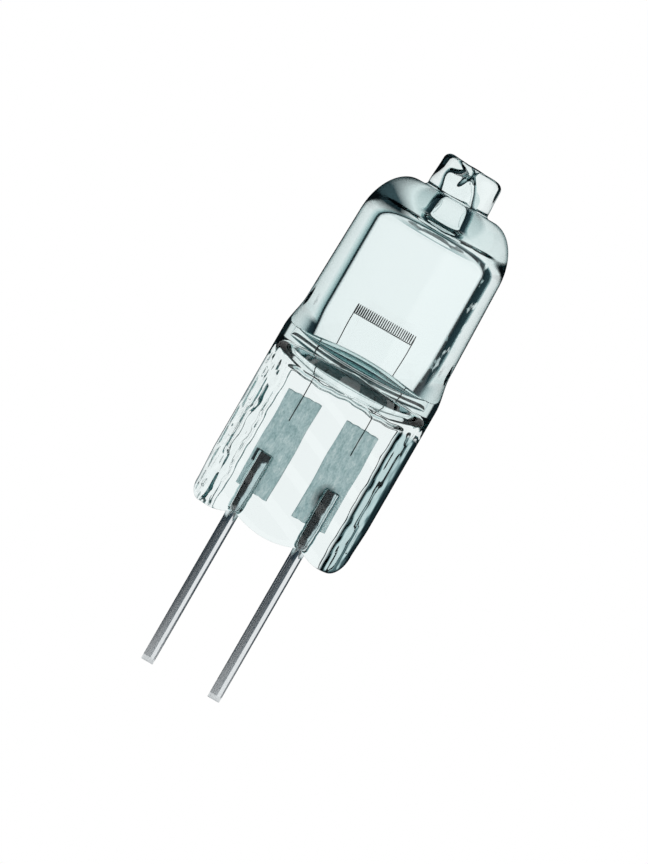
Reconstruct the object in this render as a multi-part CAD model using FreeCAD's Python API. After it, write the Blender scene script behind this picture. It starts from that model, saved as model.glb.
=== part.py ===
import FreeCAD, Part
import math
import os

# Halogen capsule bulb with two plug-in pins, in millimetres.
# +Z runs up the lamp from the plane of the pin ends, X runs across the broad
# face of the pinch seal and Y through its thickness. The lamp's axis is X = Y = 0.

# Pins and their metal inside the seal
PIN_SPACING = 4.0
PIN_DIAMETER = 0.70
PIN_FREE_LENGTH = 9.1
PIN_ROUND_END_BELOW_GLASS = 0.1
PIN_SEALED_LENGTH = 3.4
PIN_END_CHAMFER = 0.08
BLADE_WIDTH = 0.78
BLADE_THICKNESS = 0.46
CAPILLARY_GAP = 0.04

# Foils that carry the current through the gas-tight glass
FOIL_WIDTH = 1.95
FOIL_LENGTH = 5.7
FOIL_THICKNESS = 0.03
FOIL_EDGE_THICKNESS = 0.01
FOIL_EDGE_WIDTH = 0.3
FOIL_SPACING = 3.44
FOIL_OVERLAP_WITH_BLADE = 2.1

# Coiled filament and its legs
WIRE_DIAMETER = 0.056
COIL_MEAN_DIAMETER = 0.54
COIL_PITCH = 0.122
COIL_HALF_TURNS = 57
COIL_HEIGHT_ABOVE_SEAL = 4.1
LEG_WELD_LENGTH = 1.5
LEG_FOOT_SPREAD = 0.12

# Pinched seal
SEAL_WIDTH = 9.16
SEAL_THICKNESS = 3.6
SEAL_SQUARENESS = 5.0
SEAL_HEIGHT = 8.2
SEAL_CORNER_RADIUS = 0.8
SEAL_BOTTOM_WIDTH = 9.0
SEAL_NARROWING_HEIGHT = 1.6
BOTTOM_BULGE = 0.47
SIDE_BULGE_DROP = 0.42
BOTTOM_EDGE_RADIUS = 0.25
WEB_WIDTH = 6.6
WEB_THICKNESS = 2.4
WEB_SIDE_SLOPE = 0.25
WEB_TOP_RADIUS = 0.4

# Blown bulb
BULB_DIAMETER_LOW = 8.6
BULB_DIAMETER_HIGH = 8.32
NECK_HEIGHT = 3.0
NECK_SPREAD_HEIGHT = 1.5
NECK_FLATTENING_HEIGHT = 1.3
BULB_HEIGHT = 8.6
SHOULDER_REACH_IN = 1.9
SHOULDER_DROP = 2.9
STUB_DIAMETER = 3.6
STUB_HEIGHT = 2.0
STUB_RIM_RADIUS = 0.4
STUB_END_TILT = 2.2

# Hollow inside the bulb
CAVITY_DIAMETER = 6.3
CAVITY_ROOF_THICKNESS = 1.8
CAVITY_ROOF_RADIUS = 1.0
CAVITY_ABOVE_WEB = 0.76
TROUGH_WIDTH = 1.0
TROUGH_DEPTH = 0.5
FLANK_HEIGHT = 0.85
TROUGH_BOW_RADIUS = 11.0
BORE_DIAMETER = 1.74
BORE_LENGTH = 3.3
BORE_MOUTH_RADIUS = 0.2

# Fineness of the free-form outlines
OVAL_POINTS = 40
NECK_STEPS = 12
FLANK_STEPS = 8

# Levels and half sizes that follow from the sizes above
seal_bottom = PIN_FREE_LENGTH
web_top = seal_bottom + SEAL_HEIGHT
neck_top = web_top + NECK_HEIGHT
shoulder_top = neck_top + BULB_HEIGHT
stub_top = shoulder_top + STUB_HEIGHT
cavity_bottom = web_top + CAVITY_ABOVE_WEB
cavity_roof = shoulder_top - CAVITY_ROOF_THICKNESS
coil_level = web_top + COIL_HEIGHT_ABOVE_SEAL
blade_end = seal_bottom + PIN_SEALED_LENGTH
foil_bottom = blade_end - FOIL_OVERLAP_WITH_BLADE
foil_top = foil_bottom + FOIL_LENGTH
foil_front = BLADE_THICKNESS / 2
foil_back = foil_front + FOIL_THICKNESS
pin_radius = PIN_DIAMETER / 2
taper_start = seal_bottom - BOTTOM_BULGE - PIN_ROUND_END_BELOW_GLASS
taper_end = foil_bottom
seal_half = SEAL_WIDTH / 2
bulb_radius = BULB_DIAMETER_LOW / 2
cavity_radius = CAVITY_DIAMETER / 2


def vec(x, y, z):
    return FreeCAD.Vector(x, y, z)


def prism(points, direction):
    """Solid made by pushing a closed flat polygon along a direction."""
    return Part.Face(Part.makePolygon(points + points[:1])).extrude(direction)


def turned(edges):
    """Solid turned about the lamp's axis from a half outline in the X-Z plane."""
    return Part.Face(Part.Wire(edges)).revolve(vec(0, 0, 0), vec(0, 0, 1), 360)


def line(start, end):
    return Part.makeLine(start, end)


def corner(start, centre, end, radius):
    """Quarter arc from start to end about a centre."""
    middle = (start + end) * 0.5 - centre
    middle.multiply(radius / middle.Length)
    return Part.Arc(start, centre + middle, end).toShape()


def smooth(t):
    """Eased step from 0 to 1 with level ends."""
    return t * t * (3 - 2 * t)


def oval(half_x, half_y, power, z):
    """Closed outline: an ellipse at power 2 and squarer above it."""
    if power == 2 and half_x == half_y:
        return Part.Wire([Part.makeCircle(half_x, vec(0, 0, z))])
    angles = [2 * math.pi * step / OVAL_POINTS for step in range(OVAL_POINTS + 1)]
    points = []
    for angle in angles[:-1]:
        c = math.cos(angle)
        s = math.sin(angle)
        reach = (abs(c) ** power + abs(s) ** power) ** (-1 / power)
        points.append(vec(half_x * c * reach, half_y * s * reach, z))
    curve = Part.BSplineCurve()
    curve.interpolate(Points=points, PeriodicFlag=True, Parameters=angles)
    return Part.Wire([curve.toShape()])


# The pinched slab, before its lower outline is cut, and the neck that rounds it
# out to the tube of the bulb. Glass squeezed out by the pinch spreads the upper
# part of the neck sideways, so it reaches the slab's width before its thickness.
slab_start = seal_bottom - 2 * BOTTOM_BULGE
slab_outline = oval(seal_half, SEAL_THICKNESS / 2, SEAL_SQUARENESS, slab_start)
slab = Part.Face(slab_outline).extrude(vec(0, 0, web_top - slab_start))

neck_sections = []
for step in range(NECK_STEPS + 1):
    t = step / NECK_STEPS
    rise = smooth(min(1, t * NECK_HEIGHT / NECK_FLATTENING_HEIGHT))
    draw_in = smooth(max(0, 1 - (1 - t) * NECK_HEIGHT / NECK_SPREAD_HEIGHT))
    half_x = seal_half + (bulb_radius - seal_half) * draw_in
    half_y = SEAL_THICKNESS / 2 + (bulb_radius - SEAL_THICKNESS / 2) * rise
    power = SEAL_SQUARENESS + (2 - SEAL_SQUARENESS) * min(1, 1.6 * rise)
    if step == NECK_STEPS:
        half_x = half_y = bulb_radius
        power = 2
    neck_sections.append(oval(half_x, half_y, power, web_top + NECK_HEIGHT * t))
neck = Part.makeLoft(neck_sections, True)

# Lower outline of the seal, seen from the front: the sides draw in a little and
# three bulges of melted glass hang between the corners and the pins.
pin_x = PIN_SPACING / 2
side_x = seal_half + 0.1
bottom_half = SEAL_BOTTOM_WIDTH / 2
bulge_z = seal_bottom - BOTTOM_BULGE
bulge_end_x = bottom_half - SEAL_CORNER_RADIUS
bulge_end_z = seal_bottom - SIDE_BULGE_DROP
corner_top = seal_bottom + SEAL_CORNER_RADIUS
corner_dip = SEAL_CORNER_RADIUS * (1 - math.sqrt(0.5))
corner_mid_z = bulge_end_z + (corner_top - bulge_end_z) * (1 - math.sqrt(0.5))
top_z = web_top + NECK_HEIGHT
# The slanting side is carried on past the slab, so that it cuts it at an angle.
side_run = SEAL_NARROWING_HEIGHT * (side_x - bottom_half) / (seal_half - bottom_half)


def seal_side(sign):
    """Edges from the top of one side round the corner to the pin."""
    top = vec(sign * side_x, 0, top_z)
    side = vec(sign * side_x, 0, corner_top + side_run)
    shoulder = vec(sign * bottom_half, 0, corner_top)
    corner_mid = vec(sign * (bottom_half - corner_dip), 0, corner_mid_z)
    bulge_end = vec(sign * bulge_end_x, 0, bulge_end_z)
    bulge = vec(sign * (pin_x + bulge_end_x) / 2, 0, bulge_z)
    pin = vec(sign * pin_x, 0, seal_bottom)
    return [
        line(top, side),
        line(side, shoulder),
        Part.Arc(shoulder, corner_mid, bulge_end).toShape(),
        Part.Arc(bulge_end, bulge, pin).toShape(),
    ]


middle_bulge = Part.Arc(
    vec(-pin_x, 0, seal_bottom), vec(0, 0, bulge_z), vec(pin_x, 0, seal_bottom)
).toShape()
closing = line(vec(-side_x, 0, top_z), vec(side_x, 0, top_z))
outline = Part.Wire(Part.__sortEdges__(seal_side(-1) + [middle_bulge] + seal_side(1) + [closing]))
front_outline = Part.Face(outline)
front_outline.translate(vec(0, -SEAL_THICKNESS, 0))
slab = slab.common(front_outline.extrude(vec(0, 2 * SEAL_THICKNESS, 0)))

# The same end seen from the side: its lower edges are melted round.
half_slab = SEAL_THICKNESS / 2
low = bulge_z
melted = [
    line(vec(0, -half_slab, top_z), vec(0, -half_slab, low + BOTTOM_EDGE_RADIUS)),
    corner(
        vec(0, -half_slab, low + BOTTOM_EDGE_RADIUS),
        vec(0, -half_slab + BOTTOM_EDGE_RADIUS, low + BOTTOM_EDGE_RADIUS),
        vec(0, -half_slab + BOTTOM_EDGE_RADIUS, low),
        BOTTOM_EDGE_RADIUS,
    ),
    line(
        vec(0, -half_slab + BOTTOM_EDGE_RADIUS, low),
        vec(0, half_slab - BOTTOM_EDGE_RADIUS, low),
    ),
    corner(
        vec(0, half_slab - BOTTOM_EDGE_RADIUS, low),
        vec(0, half_slab - BOTTOM_EDGE_RADIUS, low + BOTTOM_EDGE_RADIUS),
        vec(0, half_slab, low + BOTTOM_EDGE_RADIUS),
        BOTTOM_EDGE_RADIUS,
    ),
    line(vec(0, half_slab, low + BOTTOM_EDGE_RADIUS), vec(0, half_slab, top_z)),
    line(vec(0, half_slab, top_z), vec(0, -half_slab, top_z)),
]
side_outline = Part.Face(Part.Wire(melted))
side_outline.translate(vec(-side_x, 0, 0))
slab = slab.common(side_outline.extrude(vec(2 * side_x, 0, 0)))

# Round bulb, slightly waisted towards its shoulder. The shoulder is a quarter of
# an ellipse, because the tube was softened and drawn in there.
high_radius = BULB_DIAMETER_HIGH / 2
shoulder_centre = vec(high_radius - SHOULDER_REACH_IN, 0, shoulder_top - SHOULDER_DROP)
shoulder_start = shoulder_centre + vec(SHOULDER_REACH_IN, 0, 0)
shoulder_end = shoulder_centre + vec(0, 0, SHOULDER_DROP)
shoulder_curve = Part.Ellipse(shoulder_end, shoulder_start, shoulder_centre)
shoulder = Part.ArcOfEllipse(shoulder_curve, 0, math.pi / 2).toShape()
bulb = turned(
    [
        line(vec(0, 0, neck_top), vec(bulb_radius, 0, neck_top)),
        line(vec(bulb_radius, 0, neck_top), shoulder_start),
        shoulder,
        line(shoulder_end, vec(0, 0, shoulder_top)),
        line(vec(0, 0, shoulder_top), vec(0, 0, neck_top)),
    ]
)

# Exhaust stub, melted shut with a slightly slanting end.
stub_radius = STUB_DIAMETER / 2
stub = Part.makeCylinder(stub_radius, 2 * STUB_HEIGHT, vec(0, 0, shoulder_top - STUB_HEIGHT / 2))
end_drop = stub_radius * math.tan(math.radians(STUB_END_TILT))
end_cutter = prism(
    [
        vec(-2 * stub_radius, -2 * stub_radius, stub_top + end_drop),
        vec(2 * stub_radius, -2 * stub_radius, stub_top - 3 * end_drop),
        vec(2 * stub_radius, -2 * stub_radius, stub_top + 2 * STUB_HEIGHT),
        vec(-2 * stub_radius, -2 * stub_radius, stub_top + 2 * STUB_HEIGHT),
    ],
    vec(0, 4 * stub_radius, 0),
)
stub = stub.cut(end_cutter)
rim = max(stub.Edges, key=lambda edge: edge.CenterOfMass.z)
stub = stub.makeFillet(STUB_RIM_RADIUS, [rim])

glass = slab.fuse([neck, bulb, stub]).removeSplitter()

# Web of the seal: one recess in each face leaves a rib down either side.
web_half = WEB_THICKNESS / 2
recess_depth = half_slab - web_half + 1


def web_recess(side):
    """Recess in the face on one side (+1 or -1) of the seal."""
    floor_y = side * web_half
    open_y = side * (web_half + recess_depth)
    spread = WEB_SIDE_SLOPE * recess_depth
    half = WEB_WIDTH / 2
    across = prism(
        [
            vec(-half, floor_y, slab_start),
            vec(half, floor_y, slab_start),
            vec(half + spread, open_y, slab_start),
            vec(-half - spread, open_y, slab_start),
        ],
        vec(0, 0, web_top - slab_start + recess_depth),
    )
    arc_start = vec(0, floor_y, web_top - WEB_TOP_RADIUS)
    arc_end = vec(0, side * (web_half + WEB_TOP_RADIUS), web_top)
    arc_centre = vec(0, side * (web_half + WEB_TOP_RADIUS), web_top - WEB_TOP_RADIUS)
    outer = vec(0, open_y, web_top + recess_depth - WEB_TOP_RADIUS)
    outer_low = vec(0, open_y, slab_start)
    inner_low = vec(0, floor_y, slab_start)
    along = Part.Face(
        Part.Wire(
            [
                line(inner_low, arc_start),
                corner(arc_start, arc_centre, arc_end, WEB_TOP_RADIUS),
                line(arc_end, outer),
                line(outer, outer_low),
                line(outer_low, inner_low),
            ]
        )
    )
    along.translate(vec(-side_x, 0, 0))
    return across.common(along.extrude(vec(2 * side_x, 0, 0)))


for side in (-1, 1):
    glass = glass.cut(web_recess(side))

# Hollow: a turned chamber and exhaust bore, closed below by the pinch.
bore_radius = BORE_DIAMETER / 2
mouth_radius = bore_radius + BORE_MOUTH_RADIUS
bore_end = cavity_roof + BORE_LENGTH
bore_straight = bore_end - bore_radius
chamber_low = cavity_bottom - 1
roof_start = vec(cavity_radius, 0, cavity_roof - CAVITY_ROOF_RADIUS)
roof_end = vec(cavity_radius - CAVITY_ROOF_RADIUS, 0, cavity_roof)
mouth_start = vec(mouth_radius, 0, cavity_roof)
mouth_end = vec(bore_radius, 0, cavity_roof + BORE_MOUTH_RADIUS)
hollow = turned(
    [
        line(vec(0, 0, chamber_low), vec(cavity_radius, 0, chamber_low)),
        line(vec(cavity_radius, 0, chamber_low), roof_start),
        corner(
            roof_start,
            vec(cavity_radius - CAVITY_ROOF_RADIUS, 0, cavity_roof - CAVITY_ROOF_RADIUS),
            roof_end,
            CAVITY_ROOF_RADIUS,
        ),
        line(roof_end, mouth_start),
        corner(
            mouth_start,
            vec(mouth_radius, 0, cavity_roof + BORE_MOUTH_RADIUS),
            mouth_end,
            BORE_MOUTH_RADIUS,
        ),
        line(mouth_end, vec(bore_radius, 0, bore_straight)),
        corner(
            vec(bore_radius, 0, bore_straight),
            vec(0, 0, bore_straight),
            vec(0, 0, bore_end),
            bore_radius,
        ),
        line(vec(0, 0, bore_end), vec(0, 0, chamber_low)),
    ]
)

# The pinch closes the chamber like the keel of a boat: flanks curve in to a
# rounded trough, and the trough itself bows down along X.
trough_half = TROUGH_WIDTH / 2
flank_low = cavity_bottom + TROUGH_DEPTH
flank = []
for step in range(FLANK_STEPS + 1):
    t = step / FLANK_STEPS
    reach = trough_half + (cavity_radius + 0.05 - trough_half) * smooth(t)
    flank.append(vec(0, reach, flank_low + FLANK_HEIGHT * t))
flank_curve = Part.BSplineCurve()
flank_curve.interpolate(Points=flank)
other_curve = Part.BSplineCurve()
other_curve.interpolate(Points=[vec(0, -p.y, p.z) for p in flank])
keel = Part.Face(
    Part.Wire(
        Part.__sortEdges__(
            [
                flank_curve.toShape(),
                line(flank[-1], vec(0, flank[-1].y, stub_top)),
                line(vec(0, flank[-1].y, stub_top), vec(0, -flank[-1].y, stub_top)),
                line(vec(0, -flank[-1].y, stub_top), vec(0, -flank[-1].y, flank[-1].z)),
                other_curve.toShape(),
                Part.Arc(
                    vec(0, -trough_half, flank[0].z),
                    vec(0, 0, cavity_bottom),
                    vec(0, trough_half, flank[0].z),
                ).toShape(),
            ]
        )
    )
)
keel.translate(vec(-seal_half, 0, 0))
hollow = hollow.common(keel.extrude(vec(2 * seal_half, 0, 0)))
bow = Part.makeCylinder(
    TROUGH_BOW_RADIUS, 2 * seal_half, vec(0, -seal_half, cavity_bottom + TROUGH_BOW_RADIUS), vec(0, 1, 0)
)
hollow = hollow.common(bow)
glass = glass.cut(hollow)


# Pins: round wire outside, pressed flat where it is welded to its foil.
def rounded_bar(width, thickness, z):
    """Closed outline of the pressed pin: flat faces and half-round edges."""
    flat = (width - thickness) / 2
    depth = thickness / 2
    a = vec(-flat, -depth, z)
    b = vec(flat, -depth, z)
    c = vec(flat, depth, z)
    d = vec(-flat, depth, z)
    return Part.Wire(
        [
            line(a, b),
            Part.Arc(b, vec(flat + depth, 0, z), c).toShape(),
            line(c, d),
            Part.Arc(d, vec(-flat - depth, 0, z), a).toShape(),
        ]
    )


def round_bar(radius, z):
    """Circle cut into the same four edges as the pressed outline."""
    low = math.radians(-60)
    points = [vec(radius * math.sin(a), -radius * math.cos(a), z) for a in (low, 0, -low)]
    far = [vec(p.x, -p.y, z) for p in reversed(points)]
    return Part.Wire(
        [
            Part.Arc(points[0], points[1], points[2]).toShape(),
            Part.Arc(points[2], vec(radius, 0, z), far[0]).toShape(),
            Part.Arc(far[0], far[1], far[2]).toShape(),
            Part.Arc(far[2], vec(-radius, 0, z), points[0]).toShape(),
        ]
    )


# The wire is round up to the edge of the glass. From there it flattens evenly, as
# the press leaves it, until it is a blade where it meets the foil.
shaft = Part.makeCylinder(pin_radius, taper_start)
shaft = shaft.makeChamfer(PIN_END_CHAMFER, [min(shaft.Edges, key=lambda e: e.CenterOfMass.z)])
blade_outline = rounded_bar(BLADE_WIDTH, BLADE_THICKNESS, taper_end)
taper = Part.makeLoft([round_bar(pin_radius, taper_start), blade_outline], True, True)
blade = Part.Face(blade_outline).extrude(vec(0, 0, blade_end - taper_end))
pin = shaft.fuse([taper, blade])

# Bore left round the pin. It is wide enough for the round and for the flat shape
# of the wire together, and behind the blade it ends flush with the foil.
round_bore = Part.makeCylinder(
    pin_radius + CAPILLARY_GAP, taper_end - CAPILLARY_GAP - slab_start, vec(0, 0, slab_start)
)
flat_outline = rounded_bar(
    BLADE_WIDTH + 2 * CAPILLARY_GAP, BLADE_THICKNESS + 2 * CAPILLARY_GAP, slab_start
)
flat_bore = Part.Face(flat_outline).extrude(vec(0, 0, blade_end + CAPILLARY_GAP - slab_start))
behind_foil = Part.makeBox(
    2 * BLADE_WIDTH, 2, SEAL_HEIGHT, vec(-BLADE_WIDTH, foil_back, taper_end - CAPILLARY_GAP)
)
pin_bore = round_bore.fuse(flat_bore.cut(behind_foil))

# Foil: rolled ribbon that thins towards its long edges.
edge_half = FOIL_EDGE_THICKNESS / 2
foil_middle = foil_front + FOIL_THICKNESS / 2
foil_half = FOIL_WIDTH / 2
flat_half = foil_half - FOIL_EDGE_WIDTH
foil = prism(
    [
        vec(-foil_half, foil_middle - edge_half, foil_bottom),
        vec(-flat_half, foil_front, foil_bottom),
        vec(flat_half, foil_front, foil_bottom),
        vec(foil_half, foil_middle - edge_half, foil_bottom),
        vec(foil_half, foil_middle + edge_half, foil_bottom),
        vec(flat_half, foil_back, foil_bottom),
        vec(-flat_half, foil_back, foil_bottom),
        vec(-foil_half, foil_middle + edge_half, foil_bottom),
    ],
    vec(0, 0, FOIL_LENGTH),
)

# Filament: one wire. It rises from the left foil, winds into a coil across the
# bulb and runs down to the right foil. Each half turn is a half ring that leans
# over by half the pitch, so one runs smoothly into the next.
coil_radius = COIL_MEAN_DIAMETER / 2
wire_radius = WIRE_DIAMETER / 2
foot_y = foil_front - wire_radius
weld_top = foil_top
weld_bottom = foil_top - LEG_WELD_LENGTH
coil_start = -COIL_PITCH * COIL_HALF_TURNS / 4


def coil_point(count):
    """End of half turn number count, in front of the coil's axis or behind it."""
    depth = coil_radius if count % 2 else -coil_radius
    return vec(coil_start + count * COIL_PITCH / 2, depth, coil_level)


def leg(foot, end):
    """Leg from the foil to the coil: upright at both ends, with one gentle S."""
    weld = vec(foot.x, foot.y, weld_top)
    half = (weld + end) * 0.5
    upper = bent_arc(weld, half)
    lower = bent_arc(end, half)
    return [line(foot, weld), upper, lower]


def bent_arc(start, end):
    """Arc that leaves start along Z and ends at end."""
    chord = end - start
    sideways = vec(chord.x, chord.y, 0)
    offset = sideways.Length
    radius = chord.Length**2 / (2 * offset)
    turn = 2 * math.atan2(offset, abs(chord.z))
    shift = radius * (1 - math.cos(turn / 2)) / offset
    middle = start + sideways * shift
    middle.z += math.copysign(radius * math.sin(turn / 2), chord.z)
    return Part.Arc(start, middle, end).toShape()


foot_x = FOIL_SPACING / 2 + LEG_FOOT_SPREAD
path = leg(vec(-foot_x, foot_y, weld_bottom), coil_point(0))
for count in range(COIL_HALF_TURNS):
    start = coil_point(count)
    end = coil_point(count + 1)
    crown = (start + end) * 0.5
    crown.z += math.copysign((end - start).Length / 2, 0.5 - count % 2)
    path.append(Part.Arc(start, crown, end).toShape())
right_leg = leg(vec(foot_x, foot_y, weld_bottom), coil_point(COIL_HALF_TURNS))
path += reversed(right_leg)
spine = Part.Wire(Part.__sortEdges__(path))
foot = min(spine.OrderedVertexes[0].Point, spine.OrderedVertexes[-1].Point, key=lambda p: p.x)
section = Part.Face(Part.Wire([Part.makeCircle(wire_radius, foot, vec(0, 0, 1))]))
filament = spine.makePipe(section)

# Set the pairs in place and let the glass close round the sealed metal. Beside
# the weld of a leg the glass doesn't reach into the corner between wire and foil.
parts = {"filament": filament}
for name, sign in (("left", -1), ("right", 1)):
    placed_pin = pin.copy()
    placed_pin.translate(vec(sign * pin_x, 0, 0))
    placed_foil = foil.copy()
    placed_foil.translate(vec(sign * FOIL_SPACING / 2, 0, 0))
    bore = pin_bore.copy()
    bore.translate(vec(sign * pin_x, 0, 0))
    weld_gap = Part.makeBox(
        1.6 * wire_radius,
        wire_radius + FOIL_THICKNESS / 2,
        LEG_WELD_LENGTH,
        vec(sign * foot_x - 0.8 * wire_radius, foot_y, weld_bottom),
    )
    glass = glass.cut(bore).cut(placed_foil).cut(weld_gap)
    parts["pin_" + name] = placed_pin
    parts["foil_" + name] = placed_foil
glass = glass.cut(filament)
parts["envelope"] = glass

os.makedirs("parts", exist_ok=True)
for name, shape in parts.items():
    shape.exportStep("parts/" + name + ".step")
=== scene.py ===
import math

import bmesh
import bpy
import numpy as np
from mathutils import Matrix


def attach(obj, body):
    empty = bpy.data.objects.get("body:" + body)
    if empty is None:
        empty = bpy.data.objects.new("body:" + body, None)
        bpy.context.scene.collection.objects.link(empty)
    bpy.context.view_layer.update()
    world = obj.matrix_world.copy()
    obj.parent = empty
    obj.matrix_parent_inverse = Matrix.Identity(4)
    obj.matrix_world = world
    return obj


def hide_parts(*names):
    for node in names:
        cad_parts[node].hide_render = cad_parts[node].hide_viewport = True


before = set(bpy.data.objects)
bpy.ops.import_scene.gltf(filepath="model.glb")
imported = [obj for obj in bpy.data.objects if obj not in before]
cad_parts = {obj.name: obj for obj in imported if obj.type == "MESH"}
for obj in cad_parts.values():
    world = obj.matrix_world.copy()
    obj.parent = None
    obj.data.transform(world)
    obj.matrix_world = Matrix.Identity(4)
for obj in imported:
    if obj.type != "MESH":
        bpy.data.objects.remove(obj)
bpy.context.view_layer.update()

MM = 0.001

# Filament: one drawn tungsten wire. It is welded to the left foil, rises straight
# into the bulb, is wound on a mandrel into a close coil across it and comes down
# again to the right foil. Nothing else holds the coil up.
WEB_TOP = 17.3
FOIL_TOP = 16.1
FOIL_SPACING = 3.44
FOIL_FRONT = 0.23
WIRE_RADIUS = 0.028
WIRE_SIDES = 8
COIL_RADIUS = 0.27
COIL_PITCH = 0.122
COIL_TURNS = 28.5
COIL_LEVEL = WEB_TOP + 4.1
POINTS_PER_TURN = 20
WELD_LENGTH = 1.5
LEG_FOOT_X = FOIL_SPACING / 2 + 0.12
LEG_FOOT_Y = FOIL_FRONT - WIRE_RADIUS
LEG_STEPS = 16


def linear(colour):
    """sRGB hex to the linear colour that a shader socket takes."""
    parts = [int(colour[i : i + 2], 16) / 255 for i in (1, 3, 5)]
    return [p / 12.92 if p <= 0.04045 else ((p + 0.055) / 1.055) ** 2.4 for p in parts] + [1.0]


def add(tree, kind, links=(), stops=(), **settings):
    """One node with its settings. A link is (socket, value or another node's socket),
    and a stop of a colour ramp is (position, sRGB hex)."""
    node = tree.nodes.new(kind)
    for name, value in settings.items():
        setattr(node, name, value)
    for key, value in links:
        socket = node.inputs[key]
        if isinstance(value, bpy.types.NodeSocket):
            tree.links.new(value, socket)
        else:
            socket.default_value = value
    if stops:
        band = node.color_ramp.elements
        while len(band) < len(stops):
            band.new(1.0)
        for element, (position, colour) in zip(band, stops):
            element.position = position
            element.color = linear(colour)
    return node


def new_material(name):
    """An empty node material and its tree."""
    material = bpy.data.materials.new(name)
    material.use_nodes = True
    material.node_tree.nodes.clear()
    return material, material.node_tree


def ease(t):
    """Step from 0 to 1 with level ends, for one number or for many."""
    t = np.clip(t, 0, 1)
    return t * t * (3 - 2 * t)


# Drawn tungsten wire, aged dark grey by its own heat: satin, a little mottled.
tungsten, tree = new_material("tungsten_wire_annealed")
place = add(tree, "ShaderNodeTexCoord").outputs["Object"]
mottle = add(
    tree,
    "ShaderNodeTexNoise",
    [("Vector", place), ("Scale", 1 / (0.3 * MM)), ("Detail", 3.0)],
)
shade = add(
    tree,
    "ShaderNodeValToRGB",
    [("Fac", mottle.outputs["Fac"])],
    stops=[(0.35, "#040505"), (0.7, "#101314")],
)
metal = add(
    tree,
    "ShaderNodeBsdfPrincipled",
    [("Base Color", shade.outputs["Color"]), ("Metallic", 1.0), ("Roughness", 0.38)],
)
add(tree, "ShaderNodeOutputMaterial", [("Surface", metal.outputs[0])])


def leg_points(side, end_y):
    """A leg from its foot on the foil to the coil's end, upright at both ends."""
    foot = np.array([side * LEG_FOOT_X, LEG_FOOT_Y])
    end = np.array([side * COIL_PITCH * COIL_TURNS / 2, end_y])
    points = [(foot[0], foot[1], FOIL_TOP - WELD_LENGTH)]
    for step in range(LEG_STEPS + 1):
        t = step / LEG_STEPS
        x, y = foot + (end - foot) * ease(t)
        points.append((x, y, FOIL_TOP + (COIL_LEVEL - FOIL_TOP) * t))
    return points


def wire_path():
    """The whole wire's centre line as an edge mesh: leg, coil, leg.

    A turn stays nearly upright and steps over to the next one at its bottom."""
    points = leg_points(-1, -COIL_RADIUS)
    steps = int(COIL_TURNS * POINTS_PER_TURN)
    for step in range(1, steps):
        turn = COIL_TURNS * step / steps
        share = turn % 1
        step_over = 0.12 * share + 0.88 * ease((share - 0.62) / 0.26)
        fade = min(1, COIL_TURNS - turn)
        x = COIL_PITCH * (turn - COIL_TURNS / 2 + (step_over - share) * fade)
        angle = 2 * math.pi * turn
        y = -COIL_RADIUS * math.cos(angle)
        points.append((x, y, COIL_LEVEL + COIL_RADIUS * math.sin(angle)))
    points += reversed(leg_points(1, COIL_RADIUS))
    mesh = bpy.data.meshes.new("wire_path")
    edges = [(i, i + 1) for i in range(len(points) - 1)]
    mesh.from_pydata([[c * MM for c in p] for p in points], edges, [])
    return mesh


def finished(name, mesh, material, nodes):
    """A piece at the origin under the root body that stands for CAD nodes, which it hides."""
    piece = bpy.data.objects.new(name, mesh)
    bpy.context.collection.objects.link(piece)
    if not mesh.materials:
        mesh.materials.append(material)
    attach(piece, "root")
    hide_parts(*nodes)


# The tree draws a round wire along any path: its radius and sides are inputs.
wire_tree = bpy.data.node_groups.new("wire_along_path", "GeometryNodeTree")
sockets = {}
for title, in_out, kind in (
    ("Path", "INPUT", "NodeSocketGeometry"),
    ("Wire Radius", "INPUT", "NodeSocketFloat"),
    ("Sides", "INPUT", "NodeSocketInt"),
    ("Wire", "OUTPUT", "NodeSocketGeometry"),
):
    sockets[title] = wire_tree.interface.new_socket(title, in_out=in_out, socket_type=kind)
entry = add(wire_tree, "NodeGroupInput")
curve = add(wire_tree, "GeometryNodeMeshToCurve", [("Mesh", entry.outputs["Path"])])
ring = add(
    wire_tree,
    "GeometryNodeCurvePrimitiveCircle",
    [("Resolution", entry.outputs["Sides"]), ("Radius", entry.outputs["Wire Radius"])],
)
tube = add(
    wire_tree,
    "GeometryNodeCurveToMesh",
    [("Curve", curve.outputs[0]), ("Profile Curve", ring.outputs[0]), ("Fill Caps", True)],
)
smooth = add(wire_tree, "GeometryNodeSetShadeSmooth", [("Geometry", tube.outputs[0])])
real = add(wire_tree, "GeometryNodeRealizeInstances", [("Geometry", smooth.outputs[0])])
dressed = add(
    wire_tree,
    "GeometryNodeSetMaterial",
    [("Geometry", real.outputs[0]), ("Material", tungsten)],
)
add(wire_tree, "NodeGroupOutput", [("Wire", dressed.outputs[0])])

path = bpy.data.objects.new("filament_path", wire_path())
bpy.context.collection.objects.link(path)
modifier = path.modifiers.new("wire", "NODES")
modifier.node_group = wire_tree
modifier[sockets["Wire Radius"].identifier] = WIRE_RADIUS * MM
modifier[sockets["Sides"].identifier] = WIRE_SIDES
depsgraph = bpy.context.evaluated_depsgraph_get()
wire_mesh = bpy.data.meshes.new_from_object(path.evaluated_get(depsgraph))
bpy.data.objects.remove(path)
finished("filament_wire", wire_mesh, tungsten, ["filament"])


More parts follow.
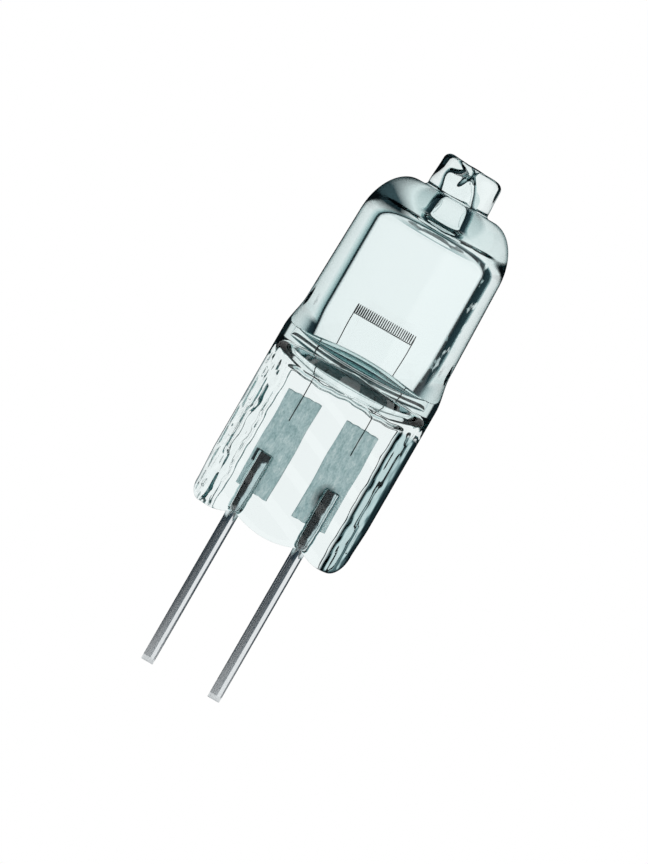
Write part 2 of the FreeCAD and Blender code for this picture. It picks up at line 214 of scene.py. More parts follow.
# Foils: each is a ribbon of molybdenum rolled to 0.03 mm, thin enough to stretch
# with the quartz that is pinched over it while soft. The squeeze leaves it finely
# rippled. The leg and the pin are spot-welded to its front.
FOIL_WIDTH = 1.95
FOIL_LENGTH = 5.7
FOIL_THICKNESS = 0.03
FOIL_BOTTOM = FOIL_TOP - FOIL_LENGTH
FOIL_COLUMNS = 40
FOIL_ROWS = 104
RIPPLE_DEPTH = 0.004
LEFT_SCORCH = (-2.17, 12.2)
LEFT_SCORCH_HALF = (0.42, 0.36)
RIGHT_SCORCH = (1.75, 11.95)
RIGHT_SCORCH_HALF = (0.55, 0.75)

# Rolled molybdenum under glass: matt blue-grey, mottled where the quartz grips it
# and scorched dark round the welds of the pins.
foil_metal, tree = new_material("molybdenum_foil_rolled")
place = add(tree, "ShaderNodeTexCoord").outputs["Object"]
grains = []
for cell, length_share, detail in ((0.22, 0.3, 5.0), (0.07, 0.5, 3.0)):
    drawn_out = add(
        tree, "ShaderNodeMapping", [("Vector", place), ("Scale", (1.0, 1.0, length_share))]
    )
    grain = add(
        tree,
        "ShaderNodeTexNoise",
        [("Vector", drawn_out.outputs[0]), ("Scale", 1 / (cell * MM)), ("Detail", detail)],
    )
    grains.append(grain.outputs["Fac"])
speckle = add(tree, "ShaderNodeMix", [("Factor", 0.45), ("A", grains[0]), ("B", grains[1])])
shade = add(
    tree,
    "ShaderNodeValToRGB",
    [("Fac", speckle.outputs[0])],
    stops=[(0.34, "#98b4b6"), (0.46, "#b6cdcf"), (0.55, "#c8dadb"), (0.66, "#e4eeee")],
)
scorch = add(tree, "ShaderNodeAttribute", attribute_name="scorch").outputs["Fac"]
burnt = add(
    tree,
    "ShaderNodeMix",
    [("Factor", scorch), ("A", shade.outputs["Color"]), ("B", linear("#151f23"))],
    data_type="RGBA",
)
bump = add(
    tree,
    "ShaderNodeBump",
    [("Strength", 0.6), ("Distance", 0.03 * MM), ("Height", speckle.outputs[0])],
)
metal = add(
    tree,
    "ShaderNodeBsdfPrincipled",
    [
        ("Base Color", burnt.outputs["Result"]),
        ("Metallic", 1.0),
        ("Roughness", 0.45),
        ("Normal", bump.outputs[0]),
    ],
)
add(tree, "ShaderNodeOutputMaterial", [("Surface", metal.outputs[0])])


def mesh_of(name, points, faces):
    """A welded, smooth-shaded mesh from points in millimetres."""
    mesh = bpy.data.meshes.new(name)
    mesh.from_pydata((np.asarray(points) * MM).tolist(), [], faces)
    work = bmesh.new()
    work.from_mesh(mesh)
    bmesh.ops.remove_doubles(work, verts=work.verts, dist=0.0001 * MM)
    work.to_mesh(mesh)
    work.free()
    mesh.shade_smooth()
    return mesh


def foil_mesh(side):
    """Ribbon with ripples pressed into both faces, thin edges and ragged ends."""
    points = []
    for face in (0, 1):
        for row in range(FOIL_ROWS + 1):
            v = row / FOIL_ROWS
            for column in range(FOIL_COLUMNS + 1):
                u = column / FOIL_COLUMNS
                edge = min(u, 1 - u, v * 3, (1 - v) * 3)
                ripple = math.sin(31 * v + 5 * math.sin(9 * u + side)) * math.sin(17 * u + 3 * side)
                ragged = 0.05 * math.sin(2.2 * u + side) + 0.015 * math.sin(23 * u)
                sway = 0.02 * math.sin(9 * v + 2 * side)
                x = side * FOIL_SPACING / 2 + (u - 0.5) * FOIL_WIDTH + sway * (2 * u - 1)
                y = FOIL_FRONT + face * FOIL_THICKNESS * min(1, 0.3 + 6 * edge)
                z = FOIL_BOTTOM + FOIL_LENGTH * v + ragged * (2 * v - 1)
                points.append((x, y + RIPPLE_DEPTH * ripple, z))
    faces = []
    width = FOIL_COLUMNS + 1
    back = (FOIL_ROWS + 1) * width
    for row in range(FOIL_ROWS):
        for column in range(FOIL_COLUMNS):
            a = row * width + column
            faces.append((a, a + 1, a + 1 + width, a + width))
            faces.append((back + a, back + a + width, back + a + 1 + width, back + a + 1))
    for a in range(FOIL_COLUMNS):
        top = FOIL_ROWS * width + a
        faces.append((a + 1, a, back + a, back + a + 1))
        faces.append((top, top + 1, back + top + 1, back + top))
    for row in range(FOIL_ROWS):
        a = row * width
        b = a + FOIL_COLUMNS
        faces.append((a, a + width, back + a + width, back + a))
        faces.append((b + width, b, back + b, back + b + width))
    return mesh_of("foil", points, faces)


def scorched(side, x, z):
    """Square mark with a sharp edge at the left weld, soft round spot at the right one."""
    if side < 0:
        off = (abs(x - LEFT_SCORCH[0]), abs(z - LEFT_SCORCH[1]))
        return 0.95 if max(o / h for o, h in zip(off, LEFT_SCORCH_HALF)) < 1 else 0.0
    off = (x - RIGHT_SCORCH[0], z - RIGHT_SCORCH[1])
    spot = math.hypot(off[0] / RIGHT_SCORCH_HALF[0], off[1] / RIGHT_SCORCH_HALF[1])
    return max(0.0, min(1.0, 1.35 - 1.1 * spot))


for side, name in ((-1, "left"), (1, "right")):
    mesh = foil_mesh(side)
    mark = mesh.attributes.new("scorch", "FLOAT", "POINT")
    for vertex, value in zip(mesh.vertices, mark.data):
        value.value = scorched(side, vertex.co.x / MM, vertex.co.z / MM)
    finished("foil_" + name + "_ribbon", mesh, foil_metal, ["foil_" + name])


# Pins: drawn molybdenum wire, 0.70 mm thick and cut square, pressed flat at its
# inner end and spot-welded to the foil. Outside the glass it is bare, and inside its
# colour is painted dark, nearly black on the left side and toward the pressed end:
# painted reflection of the dim room.
GLASS_EXIT = 9.1
BOTTOM_BULGE = 0.47
PIN_X = 2.0
PIN_RADIUS = 0.35
PIN_COLUMNS = 48
BLADE_HALF = (0.39, 0.23)
BLADE_START = FOIL_BOTTOM
BLADE_END = GLASS_EXIT + 3.4
TAPER_START = GLASS_EXIT - BOTTOM_BULGE - 0.1
TAPER_STEPS = 12

# Drawn wire: bright and smooth, with one sharp streak of light down it. Over the
# sealed length its colour is painted dark as painted shade for the dim room it mirrors
# inside the glass, with patches left bright.
pin_metal, tree = new_material("molybdenum_wire_drawn")
place = add(tree, "ShaderNodeTexCoord").outputs["Object"]
height = add(tree, "ShaderNodeSeparateXYZ", [("Vector", place)]).outputs["Z"]
sealed = add(
    tree,
    "ShaderNodeMapRange",
    [("Value", height), ("From Min", 9.0 * MM), ("From Max", 9.35 * MM)],
)
drawn_out = add(tree, "ShaderNodeMapping", [("Vector", place), ("Scale", (1.0, 1.0, 0.35))])
patches = add(
    tree,
    "ShaderNodeTexNoise",
    [("Vector", drawn_out.outputs[0]), ("Scale", 1 / (0.45 * MM)), ("Detail", 3.0)],
)
# Painted reflection: the wire is darker on its left side and toward its pressed end.
painted_dark_left = add(tree, "ShaderNodeAttribute", attribute_name="painted_dark_left").outputs["Fac"]
cover = add(
    tree,
    "ShaderNodeMath",
    [(0, painted_dark_left), (1, -0.4), (2, patches.outputs["Fac"])],
    operation="MULTIPLY_ADD",
)
painted_shade_ramp = add(
    tree,
    "ShaderNodeValToRGB",
    [("Fac", cover.outputs[0])],
    stops=[(0.26, "#0b1214"), (0.34, "#2c3a3f"), (0.44, "#c3d1d3")],
)
shade = add(
    tree,
    "ShaderNodeMix",
    [("Factor", sealed.outputs[0]), ("A", linear("#e4e8ea")), ("B", painted_shade_ramp.outputs["Color"])],
    data_type="RGBA",
)
metal = add(
    tree,
    "ShaderNodeBsdfPrincipled",
    [("Base Color", shade.outputs["Result"]), ("Metallic", 1.0), ("Roughness", 0.09)],
)
add(tree, "ShaderNodeOutputMaterial", [("Surface", metal.outputs[0])])


def skin(rings, capped=True, inward=False):
    """Points and faces of a skin over rings of equal length."""
    count = len(rings[0])
    last = (len(rings) - 1) * count
    faces = []
    for base in range(0, last, count):
        for i in range(count):
            j = (i + 1) % count
            faces.append((base + i, base + j, base + count + j, base + count + i))
    if capped:
        faces.append(tuple(range(count - 1, -1, -1)))
        faces.append(tuple(range(last, last + count)))
    if inward:
        faces = [tuple(reversed(face)) for face in faces]
    return np.vstack(rings), faces


def bar_ring(radius, half, blend, x, z):
    """Ring of a bar at height z: round at blend 0, flattened to half at blend 1, with
    faces that bow out a little."""
    ring = []
    for i in range(PIN_COLUMNS):
        t = 2 * math.pi * i / PIN_COLUMNS
        round_x, round_y = radius * math.cos(t), radius * math.sin(t)
        core = max(-1, min(1, 2.2 * math.cos(t)))
        flat_x = (half[0] - half[1]) * core + half[1] * math.cos(t)
        flat_y = half[1] * math.sin(t)
        if abs(core) < 1:
            flat_y = math.copysign(half[1] * (1 - 0.11 * core * core), math.sin(t))
        across = round_x + (flat_x - round_x) * blend
        ring.append((x + across, round_y + (flat_y - round_y) * blend, z))
    return ring


def pin_rings(x):
    """Rings of a pin from its square-cut end to its pressed inner end.

    A level is a height, a share of the full thickness and how flat the wire is."""
    levels = [(0.0, 0.9, 0), (0.0, 0.96, 0), (0.02, 0.99, 0), (0.06, 1, 0)]
    levels += [(0.3 + 0.5 * i, 1, 0) for i in range(17)] + [(TAPER_START, 1, 0)]
    for i in range(1, TAPER_STEPS + 1):
        t = i / TAPER_STEPS
        levels.append((TAPER_START + (BLADE_START - TAPER_START) * t, 1, t))
    levels += [(BLADE_START + 0.25 * i, 1, 1) for i in range(1, 8)]
    levels += [(BLADE_END - 0.04, 1, 1), (BLADE_END, 0.95, 1)]
    rings = []
    for z, share, blend in levels:
        half = (BLADE_HALF[0] * share, BLADE_HALF[1] * share)
        rings.append(bar_ring(PIN_RADIUS * share, half, blend, x, z))
    return rings


for side, name, darker_from, darker_reach in ((-1, "left", 11.95, 1.6), (1, "right", 11.2, 0.5)):
    points, faces = skin(pin_rings(side * PIN_X))
    mesh = mesh_of("pin", points, faces)
    # Painted reflection: darker to the left of the wire and, from a given height, toward its pressed
    # end.
    mark = mesh.attributes.new("painted_dark_left", "FLOAT", "POINT")
    for vertex, value in zip(mesh.vertices, mark.data):
        across = (vertex.co.x / MM - side * PIN_X) / BLADE_HALF[0]
        darker_top = max(0, min(1, (vertex.co.z / MM - darker_from) / 0.3))
        value.value = max(0, min(1, 0.5 - 0.9 * across + darker_top * (darker_reach - across)))
    finished("pin_" + name + "_wire", mesh, pin_metal, ["pin_" + name])


# Envelope: one quartz tube, drawn in at the top to the exhaust stub, which is melted
# shut once the gas is in. Its bottom is pinched flat over the foils by jaws, which
# leave a web with a rib down either side, and the free glass bulges below them.
SEAL_HALF = (4.58, 1.8)
SEAL_POWER = 5.0
BOTTOM_HALF = 4.5
BOTTOM_EDGE_RADIUS = 0.25
BOTTOM_EVEN = 12.2
BULGE_END_X = 3.7
WEB_HALF = 1.2
NECK_TOP = 20.8
NECK_SPREAD = 2.0
NECK_STEPS = 60
FLATTENING_START = 16.9
FLATTENING_TOP = 18.42
SKIN_BOW = 0.5
SKIN_BOW_HALF = 3.3
HOLLOW_ARCH = 0.5
HOLLOW_ARCH_HALF = 3.4
BULB_LOW = 4.30
BULB_HIGH = 4.16
SHOULDER_TOP = 28.9
SHOULDER_REACH_IN = 1.9
SHOULDER_DROP = 2.9
STUB_RADIUS = 1.8
STUB_TOP = SHOULDER_TOP + 2.0
STUB_FOOT_RADIUS = 0.15
STUB_STRAIGHT = 1.45
STUB_RIM_RADIUS = 0.4
CAVITY_RADIUS = 3.15
CAVITY_BOTTOM = WEB_TOP + 0.76
CAVITY_ROOF = SHOULDER_TOP - 1.8
CAVITY_ROOF_RADIUS = 1.0
TROUGH_HALF = 0.49
TROUGH_TOP = CAVITY_BOTTOM + 0.5
TROUGH_BOW_RADIUS = 11.0
FLANK_TOP = 18.9
WALL_START = FLANK_TOP + 0.75
BORE_RADIUS = 0.87
BORE_MOUTH_RADIUS = 0.2
BORE_STRAIGHT = 2.2
BORE_TIP_START = 29.5
BORE_TIP_LENGTH = 0.9
CAPILLARY_GAP = 0.045

# Fused quartz, fire polished. A ray that meets a wall from inside too flat to leave
# it is mirrored, and the dark teal along the hollow and the ribs is painted reflection:
# the glass colour is darkened there for the dim room such rays would show. Clear up to
# that angle, then a painted colour for each part of the glass, by how flat the ray meets it.
TOTAL_REFLECTION = 0.262
CLEAR = "#fcfefe"
PAINTED_REFLECTION = {
    "left_wall": [
        (0.272, "#142528"),
        (0.288, "#1c2f33"),
        (0.3, "#8fabad"),
        (0.34, "#d6e6e6"),
        (0.38, "#f4f9f9"),
    ],
    "right_wall": [(0.272, "#142528"), (0.358, "#2a4045"), (0.378, "#8ba6a9"), (0.4, CLEAR)],
    "fleck": [(0.272, "#8ba6a9"), (0.37, "#f4f9f9")],
    "left_rib": [(0.275, "#2a4045"), (0.32, "#93afb1"), (0.6, "#cfe0e0")],
    "right_rib": [(0.272, "#0c171a"), (0.35, "#22363b"), (0.5, "#5f8084"), (0.8, "#9cbcbe")],
    "neck": [
        (0.272, "#0f1c20"),
        (0.34, "#2b3d43"),
        (0.42, "#8ba6a9"),
        (0.55, "#bfd4d5"),
        (0.8, "#e4eeee"),
    ],
    "beside_neck": [(0.272, "#c8dadb"), (0.3, "#dfeaea"), (0.6, "#f4f9f9")],
    "left_shoulder": [(0.272, "#122024"), (0.5, "#1b2b30"), (0.8, "#3f5257")],
    "bore": [(0.272, "#122024"), (0.5, "#2b3d43"), (0.7, "#8fabad"), (0.9, "#dfeaea")],
    "stub": [(0.272, "#0c171a"), (0.36, "#22363b"), (0.48, "#8ba6a9"), (0.7, "#dfeaea")],
}
# Painted reflection on faces seen from outside: a steep face would look past the lit
# background into the room, so its glass colour is darkened by how steeply it is met:
# thin dark outlines, and on the right rib a teal body between two dark edges.
PAINTED_OUTLINES = {
    "outline": [(0.0, CLEAR), (0.7, CLEAR), (0.86, "#aabdbf"), (0.97, "#3f5257")],
    "rib_outline": [
        (0.0, "#d3e4e5"),
        (0.1, "#b9d0d2"),
        (0.2, "#5c777b"),
        (0.45, "#1b2b30"),
        (0.9, "#101b1f"),
    ],
    "flare_outline": [(0.0, CLEAR), (0.7, CLEAR), (0.97, "#8ba5a8")],
}
quartz, tree = new_material("fused_quartz_fire_polished")
place = add(tree, "ShaderNodeTexCoord").outputs["Object"]
axes = add(tree, "ShaderNodeSeparateXYZ", [("Vector", place)])
off_axis = add(tree, "ShaderNodeMath", [(0, axes.outputs["X"])], operation="ABSOLUTE")
along = {"X": axes.outputs["X"], "Z": axes.outputs["Z"], "off axis": off_axis.outputs[0]}
facing = add(tree, "ShaderNodeLayerWeight", [("Blend", 0.5)]).outputs["Facing"]
shades = {}
for part, stops in PAINTED_REFLECTION.items():
    stops = [(TOTAL_REFLECTION, CLEAR)] + stops
    shades[part] = add(tree, "ShaderNodeValToRGB", [("Fac", facing)], stops=stops).outputs["Color"]
for part, stops in PAINTED_OUTLINES.items():
    shades[part] = add(tree, "ShaderNodeValToRGB", [("Fac", facing)], stops=stops).outputs["Color"]

# Noise spots of paler painted reflection break the painted dark line in the right
# wall, and the painted shade differs right and left.
drawn_out = add(tree, "ShaderNodeMapping", [("Vector", place), ("Scale", (1.0, 1.0, 0.6))])
# Noise that places the paler spots in the painted dark line.
melted = add(
    tree,
    "ShaderNodeTexNoise",
    [("Vector", drawn_out.outputs[0]), ("Scale", 1 / (0.5 * MM)), ("Detail", 4.0)],
)
spots_in_painted_line = add(
    tree,
    "ShaderNodeValToRGB",
    [("Fac", melted.outputs["Fac"])],
    stops=[(0.57, "#000000"), (0.64, "#ffffff")],
)
to_right = add(
    tree,
    "ShaderNodeMapRange",
    [("Value", along["X"]), ("From Min", 0.0), ("From Max", 2.0 * MM)],
).outputs[0]
for whole, share, first, second in (
    ("right_wall", spots_in_painted_line.outputs["Color"], "right_wall", "fleck"),
    ("wall", to_right, "left_wall", "right_wall"),
    ("rib", to_right, "left_rib", "right_rib"),
):
    links = [("Factor", share), ("A", shades[first]), ("B", shades[second])]
    shades[whole] = add(tree, "ShaderNodeMix", links, data_type="RGBA").outputs["Result"]

# Each part of the glass takes over from the parts named before it with its own painted
# reflection colours. It fades in from the first millimetre value to the second, along
# every axis that is named with it.
tints = []
for first, parts in (
    (
        "outline",
        [
            ("rib_outline", [("X", 3.3, 3.45), ("Z", 17.2, 16.9)]),
            ("flare_outline", [("Z", 16.9, 17.2), ("Z", 18.6, 18.3)]),
        ],
    ),
    (
        "wall",
        [
            ("neck", [("Z", 19.9, 19.6)]),
            ("beside_neck", [("off axis", 2.9, 3.2), ("Z", 20.8, 20.4)]),
            ("rib", [("Z", 17.5, 17.2)]),
            # The left shoulder takes a dark patch of painted reflection.
            ("left_shoulder", [("X", -1.3, -2.0), ("Z", 26.45, 26.85)]),
            ("bore", [("off axis", 1.25, 1.05), ("Z", 27.0, 27.2)]),
            ("stub", [("Z", 28.9, 29.1)]),
        ],
    ),
):
    tint = shades[first]
    for part, fades in parts:
        share = 1.0
        for axis, start, end in fades:
            links = [("Value", along[axis]), ("From Min", start * MM), ("From Max", end * MM)]
            links = [(0, share), (1, add(tree, "ShaderNodeMapRange", links).outputs[0])]
            share = add(tree, "ShaderNodeMath", links, operation="MULTIPLY").outputs[0]
        links = [("Factor", share), ("A", tint), ("B", shades[part])]
        tint = add(tree, "ShaderNodeMix", links, data_type="RGBA").outputs["Result"]
    tints.append(tint)
inside = add(tree, "ShaderNodeNewGeometry").outputs["Backfacing"]
tint = add(
    tree,
    "ShaderNodeMix",
    [("Factor", inside), ("A", tints[0]), ("B", tints[1])],
    data_type="RGBA",
)
glass = add(
    tree,
    "ShaderNodeBsdfGlass",
    [("Color", tint.outputs["Result"]), ("Roughness", 0.0), ("IOR", 1.458)],
)
# Clear glass throws hardly any shadow, and its body takes a little red away.
clear = add(tree, "ShaderNodeBsdfTransparent", [("Color", linear("#eef5f5"))])
in_shadow = add(tree, "ShaderNodeLightPath").outputs["Is Shadow Ray"]
surface = add(
    tree,
    "ShaderNodeMixShader",
    [(0, in_shadow), (1, glass.outputs[0]), (2, clear.outputs[0])],
)
body = add(tree, "ShaderNodeVolumeAbsorption", [("Color", linear("#5dafac")), ("Density", 40.0)])
add(
    tree,
    "ShaderNodeOutputMaterial",
    [("Surface", surface.outputs[0]), ("Volume", body.outputs[0])],
)

around_skin = 2 * np.pi * np.arange(288) / 288
around_hollow = 2 * np.pi * np.arange(160) / 160


def oval(half_x, half_y, power, angles):
    """Outline that is an ellipse at power 2 and squarer above it."""
    c, s = np.cos(angles), np.sin(angles)
    reach = (np.abs(c) ** power + np.abs(s) ** power) ** (-1 / power)
    return half_x * c * reach, half_y * s * reach


def quarter(steps):
    """Sine and cosine at equal steps of a quarter turn, from 0."""
    turns = [math.pi / 2 * step / steps for step in range(steps + 1)]
    return [(math.sin(turn), math.cos(turn)) for turn in turns]


def bottom_level(x):
    """Lower edge of the seal: bulges between the pins and beside them, and corners
    that rise in a wider round on the left than on the right."""
    across = np.abs(x)
    middle = GLASS_EXIT - BOTTOM_BULGE * (1 - (across / PIN_X) ** 2)
    t = np.clip((across - PIN_X) / (BULGE_END_X - PIN_X), 0, 1)
    beside = GLASS_EXIT - BOTTOM_BULGE * np.sin(np.pi * t * 0.63) ** 0.8
    start = np.where(x < 0, 3.9, BULGE_END_X)
    rise = np.where(x < 0, 0.9, 1.3)
    corner = np.clip((across - start) / (BOTTOM_HALF - start), 0, 1)
    return np.where(across < PIN_X, middle, beside) + rise * (1 - np.sqrt(1 - corner**2))


def skin_ring(x, y, z):
    """Ring of the outer skin: rippled along the ribs by the jaws, which also press
    the web in between them. The web's sides sway a little, and its top has a lip."""
    z = np.broadcast_to(z, x.shape)
    rib = ease((np.abs(x) - 3.5) / 0.6) * ease((WEB_TOP + 0.6 - z) / 0.8)
    wander = 0.07 * np.sin(1.1 * z) + 0.035 * np.sin(3.7 * z + 1)
    wave = np.sin(15 * (x + wander)) + 0.6 * np.sin(27 * (x - wander) + 0.5 * z)
    depth = np.where(x < 0, 0.07, 0.02) * (1 + 0.4 * np.sin(0.9 * z + x))
    y = y * (1 + depth * rib * wave)
    hand = np.sign(x)
    sway = 0.035 * np.sin(2.3 * z + 0.7 * hand) + 0.02 * np.sin(5.9 * z + 2 * hand)
    wall = ease((np.abs(x) - np.where(x < 0, 3.12, 3.34) - sway) / 0.42)
    lip = 0.06 * np.sin(1.9 * x + 0.6) + 0.03 * np.sin(6.1 * x)
    top = ease((z - (WEB_TOP - 0.4) - lip) / 0.7)
    dimple = 0.012 * np.sin(3.1 * z + 1.3 * x) * (1 - top)
    limit = WEB_HALF + dimple + 0.75 * wall + 3.5 * top**1.5
    return np.column_stack([x, np.sign(y) * np.minimum(np.abs(y), limit), z])


def seal_rings():
    """Rings of the pinched seal, from the middle of its melted bottom, round the lower
    edge and up to the top of the web."""
    x, y = oval(*SEAL_HALF, SEAL_POWER, around_skin)
    x_bottom = x * BOTTOM_HALF / SEAL_HALF[0]
    low = bottom_level(x_bottom)
    rings = []
    closing = [(share, 0.0) for share in (0.0, 0.3, 0.6, 0.8)]
    for s, c in quarter(6):
        in_share = BOTTOM_EDGE_RADIUS / SEAL_HALF[1] * (1 - s)
        closing.append((1 - in_share, BOTTOM_EDGE_RADIUS * (1 - c)))
    for share, lift in closing:
        ring = skin_ring(x_bottom, y, low + lift)
        ring[:, 1] *= share
        rings.append(ring)
    low = low + BOTTOM_EDGE_RADIUS
    for t in np.linspace(0, 1, 23)[1:]:
        half = BOTTOM_HALF + (SEAL_HALF[0] - BOTTOM_HALF) * min(1, t / 0.7)
        rings.append(skin_ring(x * half / SEAL_HALF[0], y, low + (BOTTOM_EVEN - low) * t))
    coarse = np.arange(BOTTOM_EVEN + 0.1, WEB_TOP - 0.65, 0.1)
    fine = np.arange(WEB_TOP - 0.58, WEB_TOP, 0.05)
    return rings + [skin_ring(x, y, z) for z in (*coarse, *fine)]


def neck_rings():
    """Rings of the neck, which flares from the slab of the seal to the round bulb.

    The flare is bowed, lower in the middle than at the sides. It never reaches past
    the wider of two outlines: the bulb's round and the slab's, which narrows upwards."""
    middle_x = oval(*SEAL_HALF, SEAL_POWER, around_skin)[0]
    c, s = np.abs(np.cos(around_skin)), np.abs(np.sin(around_skin))
    flare = (c**SEAL_POWER + s**SEAL_POWER) ** (-1 / SEAL_POWER)
    rings = []
    for level in np.linspace(WEB_TOP, NECK_TOP, NECK_STEPS + 1):
        half_x = SEAL_HALF[0] + (BULB_LOW - SEAL_HALF[0]) * ease(1 - (NECK_TOP - level) / NECK_SPREAD)
        bowed = level - SKIN_BOW * (middle_x / SKIN_BOW_HALF) ** 2
        depth = ease((bowed - FLATTENING_START) / (FLATTENING_TOP - FLATTENING_START))
        half_y = SEAL_HALF[1] + (BULB_LOW - SEAL_HALF[1]) * depth
        bulb = (c**2 + (s * half_y / BULB_LOW) ** 2) ** -0.5
        slab = (c * half_x / SEAL_HALF[0]) ** SEAL_POWER + (s * half_y / SEAL_HALF[1]) ** SEAL_POWER
        slab = slab ** (-1 / SEAL_POWER) * (1 - 0.06 * ease((level - WEB_TOP) / 1.6))
        reach = np.minimum(flare, np.maximum(bulb, slab))
        x = half_x * np.cos(around_skin) * reach
        rings.append(skin_ring(x, half_y * np.sin(around_skin) * reach, level))
    return rings


def bulb_rings():
    """Rings of the bulb, its shoulder and the stub, whose melted end sags in facets."""
    straight_top = SHOULDER_TOP - SHOULDER_DROP
    profile = []
    for t in np.linspace(0, 1, 15)[1:]:
        profile.append((BULB_LOW + (BULB_HIGH - BULB_LOW) * t, NECK_TOP + (straight_top - NECK_TOP) * t))
    for s, c in quarter(24)[1:]:
        profile.append((BULB_HIGH - SHOULDER_REACH_IN * (1 - c), straight_top + SHOULDER_DROP * s))
    profile.append((STUB_RADIUS + 0.25, SHOULDER_TOP))
    for s, c in quarter(5):
        foot = SHOULDER_TOP + STUB_FOOT_RADIUS * (1 - c)
        profile.append((STUB_RADIUS + STUB_FOOT_RADIUS * (1 - s), foot))
    for z in np.linspace(SHOULDER_TOP + STUB_FOOT_RADIUS, SHOULDER_TOP + STUB_STRAIGHT, 9)[1:]:
        profile.append((STUB_RADIUS, z))
    for s, c in quarter(8)[1:]:
        profile.append((STUB_RADIUS - STUB_RIM_RADIUS * (1 - c), STUB_TOP - STUB_RIM_RADIUS * (1 - s)))
    for share in (0.85, 0.65, 0.45, 0.25, 0.1, 0.0):
        profile.append(((STUB_RADIUS - STUB_RIM_RADIUS) * share, STUB_TOP))
    rings = []
    for radius, z in profile:
        melt = ease((z - 29.2) / 1.2)
        facet = 0.025 * (1 + np.sin(4 * around_skin + 0.6)) + 0.02 * np.sin(7 * around_skin)
        x = radius * np.cos(around_skin) * (1 - melt * facet)
        y = radius * np.sin(around_skin) * (1 - melt * facet)
        dent = 0.05 * (radius / STUB_RADIUS) * np.sin(3 * around_skin + 0.4)
        rings.append(np.column_stack([x, y, z - melt * (0.055 + 0.04 * x + dent)]))
    return rings


def hollow_rings():
    """Rings of the hollow, from its crease at the pinch to the end of the bore.

    The crease bows down along X, and the flanks above it arch up in the middle. The
    bore's end is melted uneven."""
    rings = []
    for s, c in quarter(14):
        x, y = oval(CAVITY_RADIUS, TROUGH_HALF * s, 3.0, around_hollow)
        bow = TROUGH_BOW_RADIUS - np.sqrt(TROUGH_BOW_RADIUS**2 - x * x)
        z = CAVITY_BOTTOM + (TROUGH_TOP - CAVITY_BOTTOM) * (1 - c) + bow
        rings.append(np.column_stack([x, y, z]))
    for t in np.linspace(0, 1, 41)[1:]:
        half = TROUGH_HALF + (CAVITY_RADIUS - TROUGH_HALF) * ease(t)
        x, y = oval(CAVITY_RADIUS, half, 3.0 - ease(t), around_hollow)
        bow = TROUGH_BOW_RADIUS - np.sqrt(TROUGH_BOW_RADIUS**2 - x * x)
        arch = HOLLOW_ARCH * np.maximum(0, 1 - (x / HOLLOW_ARCH_HALF) ** 2)
        arch = arch * math.sin(math.pi / 2 * min(1, 1.2 * t))
        z = TROUGH_TOP + (FLANK_TOP - TROUGH_TOP) * t + bow * (1 - t) + arch
        rings.append(np.column_stack([x, y, z]))
    for lift in (0.03, 0.08, 0.15):
        rings.append(np.column_stack([x, y, z + lift]))
    roof_start = CAVITY_ROOF - CAVITY_ROOF_RADIUS
    profile = [(CAVITY_RADIUS, z) for z in np.linspace(WALL_START, roof_start, 15)]
    roof_edge = CAVITY_RADIUS - CAVITY_ROOF_RADIUS
    for s, c in quarter(8)[1:]:
        profile.append((roof_edge + CAVITY_ROOF_RADIUS * c, roof_start + CAVITY_ROOF_RADIUS * s))
    profile += [(1.8, CAVITY_ROOF), (1.3, CAVITY_ROOF)]
    mouth_top = CAVITY_ROOF + BORE_MOUTH_RADIUS
    for s, c in quarter(5):
        profile.append((BORE_RADIUS + BORE_MOUTH_RADIUS * (1 - s), mouth_top - BORE_MOUTH_RADIUS * c))
    for z in np.linspace(mouth_top, mouth_top + BORE_STRAIGHT, 11)[1:]:
        profile.append((BORE_RADIUS, z))
    for s, c in quarter(8)[1:]:
        profile.append((BORE_RADIUS * c, BORE_TIP_START + BORE_TIP_LENGTH * s))
    c, s = np.cos(around_hollow), np.sin(around_hollow)
    for radius, z in profile:
        melt = ease((z - 28.4) / 1.6)
        uneven = 1 - 0.16 * melt * (1 + np.sin(3 * around_hollow + 0.9 + 1.2 * melt))
        level = z - 0.2 * melt * np.sin(2 * around_hollow + 0.4) - 0.15 * melt * c
        rings.append(np.column_stack([radius * c * uneven, radius * s * uneven, level]))
    return rings


def capillary_rings(x):
    """Rings of the thin void that stays round a pin, closed just inside the glass."""
    levels = [(GLASS_EXIT + 0.02, 0.2), (GLASS_EXIT + 0.02, 0.85), (GLASS_EXIT + 0.06, 1)]
    levels += [(GLASS_EXIT + 0.1 + 0.12 * i, 1) for i in range(28)]
    levels += [(BLADE_END + 0.03, 1), (BLADE_END + 0.05, 0.6), (BLADE_END + 0.05, 0.1)]
    rings = []
    for z, share in levels:
        blend = min(1, max(0, (z - TAPER_START) / (BLADE_START - TAPER_START)))
        gap = CAPILLARY_GAP + 0.012 * math.sin(9 * z + x) + 0.008 * math.sin(23 * z)
        half = [(h + gap) * share for h in BLADE_HALF]
        rings.append(bar_ring((PIN_RADIUS + gap) * share, half, blend, x, z))
    return rings


skins = [
    skin(seal_rings() + neck_rings() + bulb_rings(), capped=False),
    skin(hollow_rings(), capped=False, inward=True),
    skin(capillary_rings(-PIN_X), inward=True),
    skin(capillary_rings(PIN_X), inward=True),
]
faces = []
offset = 0
for skin_points, skin_faces in skins:
    faces += [tuple(corner + offset for corner in face) for face in skin_faces]
    offset += len(skin_points)
mesh = mesh_of("envelope", np.vstack([skin_points for skin_points, skin_faces in skins]), faces)
finished("envelope_quartz", mesh, quartz, ["envelope"])

# Floor, background and light: a pale floor lies in the plane of the pin ends. The
# background is white, and one soft box stands to the right of the camera in an
# otherwise dim room, which only mirrored rays see.
FLOOR_SIZE = 600
FLOOR_LEVEL = -0.02
SOFT_BOX_AZIMUTH = math.radians(-30)

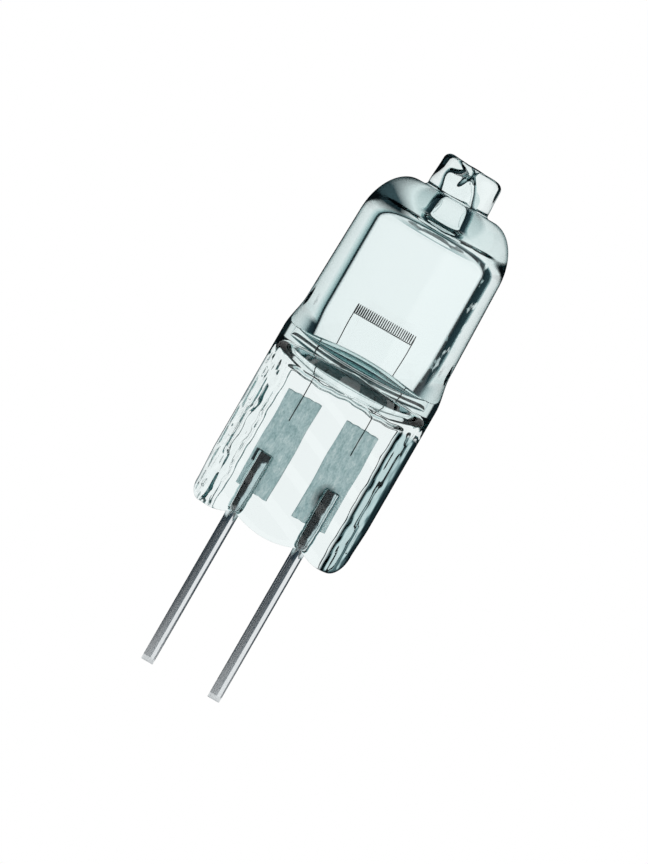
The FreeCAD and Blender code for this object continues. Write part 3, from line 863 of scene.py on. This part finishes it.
# Matt paint. Rays that come through the glass see it as white as the background.
floor_paint, tree = new_material("floor_matt_white")
paint = add(
    tree,
    "ShaderNodeBsdfPrincipled",
    [("Base Color", linear("#f4f4f4")), ("Roughness", 0.9)],
)
white = add(tree, "ShaderNodeEmission", [("Color", linear("#ffffff")), ("Strength", 1.0)])
through_glass = add(tree, "ShaderNodeLightPath").outputs["Is Transmission Ray"]
matt = add(
    tree,
    "ShaderNodeMixShader",
    [(0, through_glass), (1, paint.outputs[0]), (2, white.outputs[0])],
)
add(tree, "ShaderNodeOutputMaterial", [("Surface", matt.outputs[0])])
bpy.ops.mesh.primitive_plane_add(size=FLOOR_SIZE * MM, location=(0, 0, FLOOR_LEVEL * MM))
floor = bpy.context.object
floor.name = "floor"
floor.data.materials.append(floor_paint)

# White to the camera and to matt surfaces. A mirrored ray sees the dim room with its
# soft box, and a ray through the glass sees white that darkens straight overhead.
world = bpy.data.worlds.new("studio")
bpy.context.scene.world = world
world.use_nodes = True
tree = world.node_tree
tree.nodes.clear()
direction = add(tree, "ShaderNodeTexCoord").outputs["Generated"]
axes = add(tree, "ShaderNodeSeparateXYZ", [("Vector", direction)])
box_direction = (math.cos(SOFT_BOX_AZIMUTH), math.sin(SOFT_BOX_AZIMUTH), 0.0)
box = add(
    tree,
    "ShaderNodeVectorMath",
    [(0, direction), (1, box_direction)],
    operation="DOT_PRODUCT",
)
soft_box = add(
    tree,
    "ShaderNodeValToRGB",
    [("Fac", box.outputs["Value"])],
    stops=[(0.0, "#26323a"), (0.76, "#46555e"), (0.82, "#ffffff")],
)
behind = add(
    tree,
    "ShaderNodeValToRGB",
    [("Fac", axes.outputs["Y"])],
    stops=[(0.55, "#000000"), (0.8, "#ffffff")],
)
room = add(
    tree,
    "ShaderNodeMix",
    [("Factor", behind.outputs[0]), ("A", soft_box.outputs[0]), ("B", linear("#1e282c"))],
    data_type="RGBA",
)
overhead = add(
    tree,
    "ShaderNodeValToRGB",
    [("Fac", axes.outputs["Z"])],
    stops=[(0.0, "#ffffff"), (0.72, "#ffffff"), (0.95, "#8aa0a2")],
)
rays = add(tree, "ShaderNodeLightPath")
seen = linear("#ffffff")
for ray, colour in (
    ("Is Glossy Ray", room.outputs["Result"]),
    ("Is Transmission Ray", overhead.outputs["Color"]),
):
    links = [("Factor", rays.outputs[ray]), ("A", seen), ("B", colour)]
    seen = add(tree, "ShaderNodeMix", links, data_type="RGBA").outputs["Result"]
background = add(tree, "ShaderNodeBackground", [("Color", seen), ("Strength", 1.0)])
add(tree, "ShaderNodeOutputWorld", [("Surface", background.outputs[0])])

# Camera: square on to the broad face, far off, with the lamp leaning 30 degrees.
VIEW_HEIGHT = 45.12
CAMERA_DISTANCE = 200
LEAN = math.radians(-30)
AIM = (0.03, 15.0)
camera_data = bpy.data.cameras.new("camera")
camera_data.type = "ORTHO"
camera_data.ortho_scale = VIEW_HEIGHT * MM
camera_data.clip_start = 1 * MM
camera_data.clip_end = 10
camera = bpy.data.objects.new("camera", camera_data)
bpy.context.collection.objects.link(camera)
camera.location = (AIM[0] * MM, -CAMERA_DISTANCE * MM, AIM[1] * MM)
camera.rotation_mode = "XYZ"
camera.rotation_euler = (math.radians(90), LEAN, 0)
bpy.context.scene.camera = camera
bpy.context.scene.view_settings.view_transform = "Standard"
# The walls of the glass lie behind each other, so a ray needs many bounces.
bpy.context.scene.cycles.max_bounces = 24
bpy.context.scene.cycles.glossy_bounces = 24
bpy.context.scene.cycles.transmission_bounces = 24
